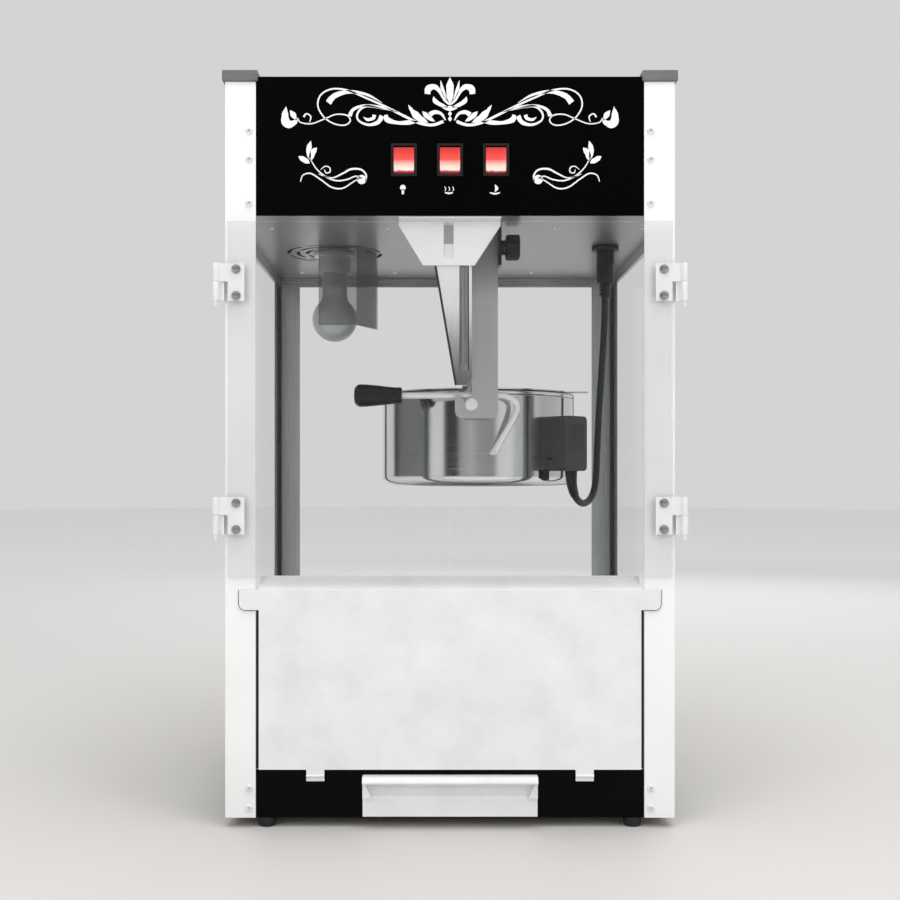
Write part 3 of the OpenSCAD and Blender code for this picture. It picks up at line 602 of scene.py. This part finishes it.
def makeHandle():
    s = handleSettings
    rodY, radius, flareSteps = s["y"], s["radius"], s["flareSteps"]
    corner = [(-60, rodY, 398), (-30, rodY, 398), (0, rodY, 398), (30, rodY, 398),
              (46, rodY, 398), (54, rodY, 397.4), (61, rodY, 394.6), (65.5, rodY, 389.5),
              (65, rodY, 382), (60, rodY, 371.5), (54, rodY, 361), (48, rodY, 350.5),
              (45, rodY, 344.6)]
    line = curveThrough([Vector(p) * mm for p in corner], 6)
    radii = [radius * mm] * len(line)
    end = len(line) - flareSteps
    for k in range(end, len(line)):
        radii[k] = (radius + s["flare"] * (k - end) / flareSteps) * mm
    rod = tubeAlong(line, radii, 24)
    stub = tubeAlong([Vector((44.6, y, 344.0)) * mm for y in (-110.5, -106, -101.4)],
                     [3.4 * mm, 3.3 * mm, 3.3 * mm], 24)
    lug = tubeAlong([Vector((40, y, 398)) * mm for y in (-110, -107, -104)],
                    [2.6 * mm, 3.0 * mm, 4.6 * mm], 20)
    for extra in (stub, lug):
        joinInto(rod, extra)
    linkPiece("handleRod", finishMesh(rod, "handleRod"), finishes["chrome"], "kettle",
              ("handle_rod",))
    turn = Matrix.Rotation(pi / 2, 4, "Y")
    grip = [(0, 0)] + arcPoints(5.5, 4.5, 4.5, -90, -30, 4) + [(10.6, 3.6), (11, 6)]
    grip += [(10.9, 10), (10.3, 18), (9.2, 28), (8.3, 36), (7.9, 41), (8.0, 42.4), (8.0, 44.6),
             (7.4, 45.9), (6, 46.1), (3.3, 46.1), (3.2, 46.0), (3.2, 31.6), (0, 31.6)]
    work = turned(grip, 48, (s["gripX"], rodY, s["gripZ"]), turn)
    linkPiece("handleGrip", finishMesh(work, "handleGrip"), finishes["blackPlastic"], "kettle",
              ("handle_grip",))


makeHandle()


lampSettings = {"ballZ": 487.6, "ballRadius": 23.9, "neckRadius": 13.2, "neckTop": 547}


def makeLamp():
    s = lampSettings
    low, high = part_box("lamp_bulb")
    centreX, centreY = (low[0] + high[0]) / 2 / mm, (low[1] + high[1]) / 2 / mm
    ball = arcPoints(0, s["ballZ"], s["ballRadius"], -90, 52, 26)
    neckRadius, neckTop = s["neckRadius"], s["neckTop"]
    neck = [(13.6, 511), (neckRadius, 515), (neckRadius, neckTop - 0.5),
            (neckRadius - 0.6, neckTop), (0, neckTop)]
    linkPiece("lampBulb", finishMesh(turned(ball + neck, 72, (centreX, centreY, 0)), "lampBulb"),
              finishes["frosted"], "cabinet", ("lamp_bulb",))


makeLamp()


tongueSettings = {"top": 535, "bottom": 404.6, "face": -158.4, "back": -150, "sheet": 1.2,
                  "topLeft": -17.4, "bottomLeft": 4.8, "right": 20.6, "groove": (9, 17.8, 2.4)}


def makeTongue():  # a folded strip with a pressed groove that runs out above the tip
    s = tongueSettings
    face, back, sheet = s["face"], s["back"], s["sheet"]
    work = bmesh.new()
    rows = []
    heights = [s["top"] - k * 5.5 for k in range(21)]
    heights += [418, 415.6, 413, 410.5, 408.2, 406.4, 405.2, s["bottom"]]
    for z in heights:
        t = (s["top"] - z) / (s["top"] - s["bottom"])
        left = s["topLeft"] + (s["bottomLeft"] - s["topLeft"]) * t
        drop = max(0, 414 - z) / (414 - s["bottom"])
        right = s["right"] - 7.6 * (1 - sqrt(max(0, 1 - drop * drop)))
        depth = s["groove"][2] * min(1, max(0, (z - 417) / 6))
        a, b = min(s["groove"][0], right - 4), min(s["groove"][1], right - 1.6)
        outer = [(left, back), (left, face + 0.5), (left + 0.5, face),
                 (min(left + 1.9, a - 0.8), face), (a - 0.4, face), (a, face),
                 (a + 0.8, face + depth), (b - 0.8, face + depth), (b, face), (b + 0.3, face),
                 (right - 0.5, face), (right, face + 0.5), (right, back)]
        inner = [(right - sheet, back), (right - sheet, face + sheet), (b, face + sheet),
                 (b - 0.9, face + sheet + depth), (a + 0.9, face + sheet + depth),
                 (a, face + sheet), (left + 2.4, face + sheet), (left + sheet, face + sheet),
                 (left + sheet, back)]
        rows.append([work.verts.new(Vector((x, y, z)) * mm) for x, y in outer + inner])
    stitchRings(work, rows)
    work.faces.new(rows[0])
    work.faces.new(rows[-1])
    tongue = linkPiece("latchTongue", finishMesh(work, "latchTongue", 30), finishes["tongue"],
                       "cabinet", ("latch_tongue",))
    tongue.data.materials.append(finishes["groove"])
    tongue.data.materials.append(finishes["foldShade"])
    # painted shade: the groove faces take the darker grooveShade; the groove's side walls and a
    # strip along the left fold take the near-black foldShade
    for part in tongue.data.polygons:
        x, z = part.center.x / mm, part.center.z / mm
        t = (s["top"] - z) / (s["top"] - s["bottom"])
        left = s["topLeft"] + (s["bottomLeft"] - s["topLeft"]) * t
        if s["groove"][0] < x < s["groove"][1] and z > 419:
            part.material_index = 2 if abs(part.normal.x) > 0.3 else 1
        elif x < left + 1.7:
            part.material_index = 2


makeTongue()


knobSettings = {"lobes": 6, "radius": 11.2, "depth": 1.7, "y": -115, "z": 540, "steps": 96,
                "collar": 7}


def makeKnob():
    s = knobSettings
    work = bmesh.new()
    sections = [(50.6, 0.5), (54, 0.52), (54.4, 0.86), (55.2, 0.97), (56, 1.0), (66, 1.0),
                (67.2, 0.96), (67.9, 0.84), (68, 0.6), (67.4, 0.5)]
    rings = []
    for x, share in sections:
        ring = []
        for j in range(s["steps"]):
            angle = 2 * pi * j / s["steps"]
            radius = (s["radius"] + s["depth"] * cos(s["lobes"] * angle)) * share
            if share < 0.6:  # the round collar at each end
                radius = s["collar"] * share / 0.5
            ring.append(work.verts.new(Vector((x, s["y"] + radius * cos(angle),
                                               s["z"] + radius * sin(angle))) * mm))
        rings.append(ring)
    stitchRings(work, rings)
    work.faces.new(rings[0])
    work.faces.new(rings[-1])
    linkPiece("clampKnob", finishMesh(work, "clampKnob"), finishes["blackPlastic"], "clamp_knob",
              ("clamp_knob",))


makeKnob()
print("turned pieces made")


def screwHead(radius, height):  # a domed head with a cross recess, a few dozen faces
    work = bmesh.new()
    steps = 24
    rows = [(radius, 0), (radius, height * 0.35), (radius * 0.86, height * 0.75),
            (radius * 0.6, height), (radius * 0.5, height)]
    rings = [[work.verts.new((r * cos(2 * pi * j / steps), r * sin(2 * pi * j / steps), h))
              for j in range(steps)] for r, h in rows]
    slotRing = []
    for j in range(steps):
        deep = j % 6 in (0, 1, 5)
        reach = radius * (0.46 if deep else 0.2)
        slotRing.append(work.verts.new((reach * cos(2 * pi * j / steps),
                                        reach * sin(2 * pi * j / steps),
                                        height * (0.45 if deep else 0.96))))
    bottom = [work.verts.new(v.co * 0.5 - Vector((0, 0, height * 0.2))) for v in slotRing]
    rings += [slotRing, bottom]
    stitchRings(work, rings)
    work.faces.new(bottom)
    work.faces.new(rings[0][::-1])
    mesh = finishMesh(work, "screwHead", 40)
    head = bpy.data.objects.new("screwHead", mesh)
    stageCollection.objects.link(head)
    return head


def screwTree(seed):
    tree = bpy.data.node_groups.new("screwRows", "GeometryNodeTree")
    face = tree.interface
    face.new_socket("Places", in_out="INPUT", socket_type="NodeSocketGeometry")
    face.new_socket("Head", in_out="INPUT", socket_type="NodeSocketObject")
    face.new_socket("Head Size", in_out="INPUT", socket_type="NodeSocketFloat")
    face.new_socket("Finish", in_out="INPUT", socket_type="NodeSocketMaterial")
    face.new_socket("Screws", in_out="OUTPUT", socket_type="NodeSocketGeometry")
    given = addNode(tree, "NodeGroupInput").outputs
    points = addNode(tree, "GeometryNodeMeshToPoints", {"Mesh": given["Places"]})
    facing = addNode(tree, "GeometryNodeInputNamedAttribute", {"Name": "facing"},
                     data_type="FLOAT_VECTOR")
    aim = addNode(tree, "FunctionNodeAlignRotationToVector",
                  {"Vector": facing.outputs["Attribute"]}, axis="Z")
    spinAngle = addNode(tree, "FunctionNodeRandomValue", {2: 0.0, 3: 2 * pi, "Seed": seed})
    spinTurn = addNode(tree, "FunctionNodeAxisAngleToRotation",
                       {"Axis": (0, 0, 1), "Angle": spinAngle.outputs[1]})
    turnBoth = addNode(tree, "FunctionNodeRotateRotation",
                       {"Rotation": aim.outputs[0], "Rotate By": spinTurn.outputs[0]},
                       rotation_space="LOCAL")
    head = addNode(tree, "GeometryNodeObjectInfo", {"Object": given["Head"]})
    placed = addNode(tree, "GeometryNodeInstanceOnPoints",
                     {"Points": points.outputs[0], "Instance": head.outputs["Geometry"],
                      "Rotation": turnBoth.outputs[0], "Scale": given["Head Size"]})
    real = addNode(tree, "GeometryNodeRealizeInstances", {"Geometry": placed.outputs[0]})
    coated = addNode(tree, "GeometryNodeSetMaterial",
                     {"Geometry": real.outputs[0], "Material": given["Finish"]})
    addNode(tree, "NodeGroupOutput", {"Screws": coated.outputs[0]})
    return tree


def screwRows(name, places, head, look, body, seed, replaces=(), size=1.0):
    mesh = bpy.data.meshes.new(name + "Places")
    mesh.from_pydata([Vector(p) * mm for p, way in places], [], [])
    mesh.attributes.new("facing", "FLOAT_VECTOR", "POINT")
    for item, (p, way) in zip(mesh.attributes["facing"].data, places):
        item.vector = way
    carrier = bpy.data.objects.new(name + "Places", mesh)
    stageCollection.objects.link(carrier)
    tree = screwTree(seed)
    rows = carrier.modifiers.new("rows", "NODES")
    rows.node_group = tree
    values = {"Head": head, "Head Size": size, "Finish": finishes[look]}
    for item in tree.interface.items_tree:
        if item.in_out == "INPUT" and item.name in values:
            rows[item.identifier] = values[item.name]
    shown = carrier.evaluated_get(bpy.context.evaluated_depsgraph_get())
    made = bpy.data.meshes.new_from_object(shown)
    made.name = name
    carrier.modifiers.remove(rows)
    bpy.data.objects.remove(carrier)
    smoothSurface(made)
    return linkPiece(name, made, finishes[look], body, replaces)


screwSettings = {
    "bigHead": (3.3, 1.75), "smallHead": (2.2, 1.1),  # radius and height
    "postFace": (205, 175), "frontX": 183, "sideY": 160,
    "frontHeights": (635, 609, 569, 36, 18), "sideHeights": (640, 600, 30),
    "ceilingZ": 558, "roofZ": 684, "rearY": 173.5,
}


def makeScrews():
    s = screwSettings
    bigHead, smallHead = (screwHead(*(size * mm for size in s[head]))
                          for head in ("bigHead", "smallHead"))
    faceX, faceY = s["postFace"]
    places = []
    for sx in (-1, 1):
        for sy in (-1, 1):
            places += [((sx * s["frontX"], sy * faceY, z), (0, sy, 0)) for z in s["frontHeights"]]
            places += [((sx * faceX, sy * s["sideY"], z), (sx, 0, 0)) for z in s["sideHeights"]]
    screwRows("postScrews", places, bigHead, "chrome", "cabinet", 3, ("post_screws",))
    ceilingZ, roofZ, rearY = s["ceilingZ"], s["roofZ"], s["rearY"]
    places = [((x, y, ceilingZ), (0, 0, -1)) for x in (-170, -60, 100, 185) for y in (-120, 130)]
    places += [((x, -150.5, ceilingZ - 1.5), (0, 0, -1)) for x in (-34, 34)]
    places += [((x, rearY, z), (0, 1, 0)) for x in (-160, 0, 160) for z in (568, 674)]
    places += [((x, y, roofZ), (0, 0, 1)) for x in (-190, 0, 190) for y in (-150, 150)]
    screwRows("sheetScrews", places, smallHead, "chrome", "cabinet", 5, ())
    places = [((17 + 6 * k, side * 104, 383), (0, side, 0)) for k in (0, 4) for side in (-1, 1)]
    screwRows("earRivets", places, smallHead, "chrome", "kettle", 9, ())
    for head in (bigHead, smallHead):
        bpy.data.objects.remove(head)


nutSettings = {"x": 194, "y": -180.6, "heights": (484, 508, 272, 296)}


def makeNutDomes():  # domed covers on the hinge nuts
    s = nutSettings
    profile = [(4.1, 0.4), (4.1, 1.1), (3.6, 1.6)] + arcPoints(0, 1.2, 3.2, 20, 90, 6)
    for side, body in ((-1, "door_left"), (1, "door_right")):
        work = bmesh.new()
        for z in s["heights"]:
            dome = turned(profile, 28, (side * s["x"], s["y"], z), Matrix.Rotation(pi / 2, 4, "X"))
            joinInto(work, dome)
        linkPiece("nutDomes_" + body[5:], finishMesh(work, "nutDomes"), finishes["nutPlate"],
                  body)


makeScrews()
makeNutDomes()
print("screws placed")


printSettings = {"depth": (-173.62, -173.49), "leastHalf": 0.06}  # front and back of the ink


def ribbonInto(work, points, widths, steps=10):  # a flat stroke through points of x and z
    line = curveThrough([(x, 0, z) for x, z in points], steps)
    last = len(line) - 1
    rows = []
    for i, spot in enumerate(line):
        along = (line[min(i + 1, last)] - line[max(i - 1, 0)]).normalized()
        across = Vector((-along.z, 0, along.x))
        share = i / last * (len(widths) - 1)
        k = min(int(share), len(widths) - 2)
        t = share - k
        t = t * t * (3 - 2 * t)
        half = max(printSettings["leastHalf"], (widths[k] * (1 - t) + widths[k + 1] * t) / 2)
        rows.append([work.verts.new(Vector((p.x, y, p.z)) * mm)
                     for p in (spot + across * half, spot - across * half)
                     for y in printSettings["depth"]])
    for a, b in zip(rows, rows[1:]):
        for p, q in ((0, 2), (2, 3), (3, 1), (1, 0)):
            work.faces.new([a[p], a[q], b[q], b[p]])
    for row in (rows[0], rows[-1]):
        work.faces.new([row[0], row[1], row[3], row[2]])


def dotInto(work, x, z, radius, steps=20):
    rings = [[work.verts.new(Vector((x + radius * cos(2 * pi * j / steps), y,
                                     z + radius * sin(2 * pi * j / steps))) * mm)
              for j in range(steps)] for y in printSettings["depth"]]
    stitchRings(work, rings)
    work.faces.new(rings[0])
    work.faces.new(rings[1])


def scrollStrokes():  # strokes for the right half, each with its widths
    thin, leaf = (0.9, 1.3, 1.3, 0.9), (0.6, 5.2, 6.4, 3.0, 0.4)
    return [
        ([(6, 644), (16, 640.8), (28, 642.5), (42, 649), (60, 658), (78, 666), (94, 672.5),
          (108, 673.5), (118, 668), (120.5, 658), (115, 648), (106, 642), (96, 640.6),
          (91, 644.5), (94, 649.5), (104, 650.4), (114, 646.5), (126, 642), (136, 643),
          (139, 647)], (2.8, 2.2, 1.6, 1.4, 1.2, 1.2, 1.1, 1.0)),
        ([(62, 661), (76, 668.5), (92, 671), (105, 667.5), (111, 661)], (0.5, 2.2, 3.2, 4.8, 5.6)),
        ([(48, 652.5), (64, 657), (78, 658.5), (88, 655), (91.5, 649)], (0.6, 2.4, 2.0, 2.8, 3.6)),
        ([(60, 655), (76, 658), (84, 652), (83.5, 645), (75, 641), (66, 643), (62, 649)],
         (0.6, 2.2, 1.8, 1.6, 2.2, 3.6, 4.6)),
        ([(79, 648), (75, 645.6), (70, 647), (69, 650)], (0.5, 2.6, 3.0, 3.4)),
        ([(28, 644), (38, 643), (48, 642.8), (57, 645.5), (58.5, 650)], (0.8, 4.0, 3.0, 5.0, 3.2)),
        ([(20, 643), (28, 647), (34, 653), (38, 659)], leaf),
        ([(14, 644), (20, 648), (25, 653)], (0.6, 3.6, 4.4, 1.0)),
        ([(4, 645), (8, 651), (14, 652.5), (18.5, 650)], (1.0, 2.4, 3.6, 4.4)),
        ([(139, 647), (142, 643), (147, 641.5), (150, 644), (150.5, 650), (149.5, 657.5)],
         (1.0, 4.4, 7.4, 7.8, 6.0, 0.5)),
        ([(140, 645), (143, 650), (146, 654)], (1.0, 5.0, 0.8)),
        ([(128, 643.5), (127, 648.5), (131, 651), (133.5, 648)], (0.8, 1.2, 1.2, 1.8)),
        # corner flourish
        ([(136.5, 589), (134, 595), (127, 596.5), (118, 591), (108, 584), (98, 583), (88, 589),
          (81, 593)], thin),
        ([(127, 609), (122, 601), (114, 594), (104, 590), (94, 591), (86, 594), (80, 592)], thin),
        ([(120, 596), (108, 592.5), (98, 596.5), (90, 600.5), (81, 600), (76.5, 595), (77, 589)],
         (0.5, 1.1, 1.5, 1.8, 1.6, 1.4, 0.8)),
        ([(127, 608), (125.5, 615), (121.5, 620)], (0.8, 4.8, 4.8, 0.8)),
        ([(127.5, 609), (129, 617), (127, 626)], (0.8, 3.8, 4.6, 0.8)),
        ([(128, 606), (133, 609), (138, 612)], (0.8, 4.6, 4.6, 0.9)),
        ([(118, 600), (114, 603), (110, 602), (109.5, 598), (113, 597), (114.5, 600)],
         (0.6, 0.9, 1.1, 1.1, 1.0, 0.7)),
        # upright sprig at the middle
        ([(0.4, 659), (5, 664), (9, 671), (14, 675.5), (19.5, 674), (20.5, 669)],
         (1.0, 2.6, 3.2, 4.6, 6.0, 5.0)),
        ([(2, 657), (8, 659), (13.5, 662.5), (15, 666.5)], (1.0, 3.4, 4.0, 0.8)),
        ([(3, 663), (6.5, 672), (8.5, 681)], (0.8, 3.2, 0.8)),
    ]


def makePrint():
    work = bmesh.new()
    for points, widths in scrollStrokes():
        for side in (1, -1):
            ribbonInto(work, [(side * x, z) for x, z in points], widths)
    for x in (80.5, -80.5):
        dotInto(work, x, 591, 4.2)
    ribbonInto(work, [(0, 660), (0, 668), (0, 676), (0, 684)], (1.2, 6.2, 6.8, 0.6))
    ribbonInto(work, [(-6.5, 656.5), (0, 655.8), (6.5, 656.5)], (1.6, 4.6, 1.6))
    for z in (651, 646.4):
        ribbonInto(work, [(0, z + 2.4), (0, z), (0, z - 2.4)], (0.5, 3.4, 0.5))
    # plain signs under the switches: lamp, turning pot, heat
    dotInto(work, -43, 583.6, 2.6)
    ribbonInto(work, [(-43, 582), (-43, 579.6), (-43, 577.6)], (3.2, 2.0, 2.0))
    ribbonInto(work, [(-4.6, 579.2), (-1, 578.4), (2.6, 579.2)], (1.2, 1.5, 1.2))
    for x in (-4.6, -1, 2.6):
        ribbonInto(work, [(x, 580.6), (x + 0.7, 582.4), (x - 0.3, 584.6)], (0.6, 0.8, 0.5))
    ribbonInto(work, [(36.4, 579), (41, 578), (45.6, 579)], (1.0, 1.6, 1.0))
    ribbonInto(work, [(41, 580), (42.6, 583), (41, 586.4)], (0.8, 3.0, 0.5))
    linkPiece("panelPrint", finishMesh(work, "panelPrint"), finishes["print"], "cabinet")


makePrint()
print("panel print made")


def blockInto(work, low, high, matrix, bevel):  # a box with rounded edges, turned into place
    block = bmesh.new()
    size = Vector(high) - Vector(low)
    middle = (Vector(high) + Vector(low)) / 2
    for v in bmesh.ops.create_cube(block, size=1.0)["verts"]:
        v.co = Vector((v.co.x * size.x, v.co.y * size.y, v.co.z * size.z)) + middle
    bmesh.ops.bevel(block, geom=block.edges[:], offset=bevel, segments=2, profile=0.5,
                    affect="EDGES", clamp_overlap=True)
    for v in block.verts:
        v.co = (matrix @ v.co) * mm
    joinInto(work, block)


connectorSettings = {"z": 325, "turn": -pi / 4, "ribs": 6, "ribGap": 4.2, "ribStart": -11}


def makeConnectorDetail():  # places here are along the box's own axes, before it is turned
    s = connectorSettings
    place = Matrix.Translation((kettleSettings["x"], 0, s["z"]))
    turn = place @ Matrix.Rotation(s["turn"], 4, "Z")
    work = bmesh.new()
    for k in range(s["ribs"]):
        y = s["ribStart"] + k * s["ribGap"]
        blockInto(work, (132, y, 20), (132.4, y + 2, 46), turn, 0.15)
    blockInto(work, (107, -17.4, 9), (121, -17, 15), turn, 0.15)
    linkPiece("connectorRibs", finishMesh(work, "connectorRibs"), finishes["boxPlastic"],
              "kettle")
    work = bmesh.new()
    blockInto(work, (103, -16, -9), (105.4, -9, 4), turn, 0.5)
    blockInto(work, (109, -17.8, 11), (116, -17.3, 13), turn, 0.15)
    linkPiece("groundStrap", finishMesh(work, "groundStrap"), finishes["blackPlastic"], "kettle")


makeConnectorDetail()


stageSettings = {
    "worldStrength": 0.85,
    "tint": (1.0, 0.99, 0.98),
    "backdrop": (0.78, 0.772, 0.765, 1),  # what is seen behind the object, from every side
    # brightness of the studio around the object, from behind the camera, left, ahead and right
    "ring": ((0.0, 0.34), (0.03, 0.5), (0.06, 0.36), (0.076, 0.03), (0.112, 0.03), (0.122, 1.1),
             (0.16, 1.1), (0.172, 0.06), (0.2, 0.2), (0.29, 0.17), (0.325, 0.04), (0.342, 0.75),
             (0.4, 0.82), (0.6, 0.8), (0.7, 0.62), (0.78, 0.5), (0.81, 0.65), (0.82, 0.02),
             (0.846, 0.02), (0.858, 0.6), (0.9, 0.85), (0.94, 0.75), (0.955, 0.3), (1.0, 0.34)),
}


def makeStage():
    work = bmesh.new()
    bmesh.ops.create_circle(work, cap_ends=True, segments=64, radius=9)
    floor = linkPiece("floor", finishMesh(work, "floor", recalc=False), floorShadeFinish(), None)
    world = bpy.data.worlds.new("studio")
    bpy.context.scene.world = world
    world.use_nodes = True
    tree = world.node_tree
    split = addNode(tree, "ShaderNodeSeparateXYZ",
                    {"Vector": addNode(tree, "ShaderNodeTexCoord").outputs["Generated"]})
    turn = addNode(tree, "ShaderNodeMath", {0: split.outputs["X"], 1: split.outputs["Y"]},
                   operation="ARCTAN2").outputs[0]
    ring = shade(tree, spread(tree, turn, -pi, pi, 0, 1),
                 [(place, tuple(level * c for c in stageSettings["tint"]))
                  for place, level in stageSettings["ring"]])
    above = spread(tree, split.outputs["Z"], 0.25, 0.8, 0, 1)
    mixed = addNode(tree, "ShaderNodeMix", {"Factor": above, 6: ring,
                    7: (0.82, 0.815, 0.81, 1)}, data_type="RGBA")
    seen = addNode(tree, "ShaderNodeLightPath").outputs["Is Camera Ray"]
    shown = addNode(tree, "ShaderNodeMix", {"Factor": seen, 6: mixed.outputs[2],
                    7: stageSettings["backdrop"]}, data_type="RGBA")
    back = tree.nodes["Background"]
    tree.links.new(shown.outputs[2], back.inputs["Color"])
    back.inputs["Strength"].default_value = stageSettings["worldStrength"]
    lamps = {
        "leftBox": ((-1.3, -1.7, 1.3), 1.1, 1.6, 15),
        "rightBox": ((1.4, -1.5, 1.2), 0.9, 1.6, 12.5),
        "topBox": ((0.1, -0.5, 2.2), 1.4, 1.4, 26),
        "rearBox": ((0.6, 2.0, 1.3), 1.6, 1.2, 10),
    }
    for name, (place, wide, high, power) in lamps.items():
        light = bpy.data.lights.new(name, "AREA")
        light.shape = "RECTANGLE"
        light.size, light.size_y, light.energy = wide, high, power
        lamp = bpy.data.objects.new(name, light)
        lamp.location = place
        aim = Vector((0, 0, 0.35)) - Vector(place)
        lamp.rotation_euler = aim.to_track_quat("-Z", "Y").to_euler()
        lamp.visible_glossy = False
        stageCollection.objects.link(lamp)


def floorShadeFinish():
    finish, tree, shader = startFinish("paleFloor", Roughness=0.55)
    place = objectPlace(tree)
    away = addNode(tree, "ShaderNodeVectorMath", {0: place}, operation="LENGTH").outputs["Value"]
    cloud = spread(tree, noiseAt(tree, place, 1.2, 3), 0.3, 0.7, -0.02, 0.02)
    # painted shade: the floor is darker near the object and paler far away from it
    tone = addNode(tree, "ShaderNodeMath", {0: spread(tree, away, 0.3, 3.5, 0, 1), 1: cloud},
                   operation="ADD").outputs[0]
    tree.links.new(shade(tree, tone, [(0.0, (0.56, 0.545, 0.53)), (0.35, (0.72, 0.71, 0.7)),
                                      (1.0, (0.97, 0.965, 0.96))]), shader.inputs["Base Color"])
    return finish


makeStage()
bpy.context.scene.view_settings.view_transform = "Standard"
print("stage ready")
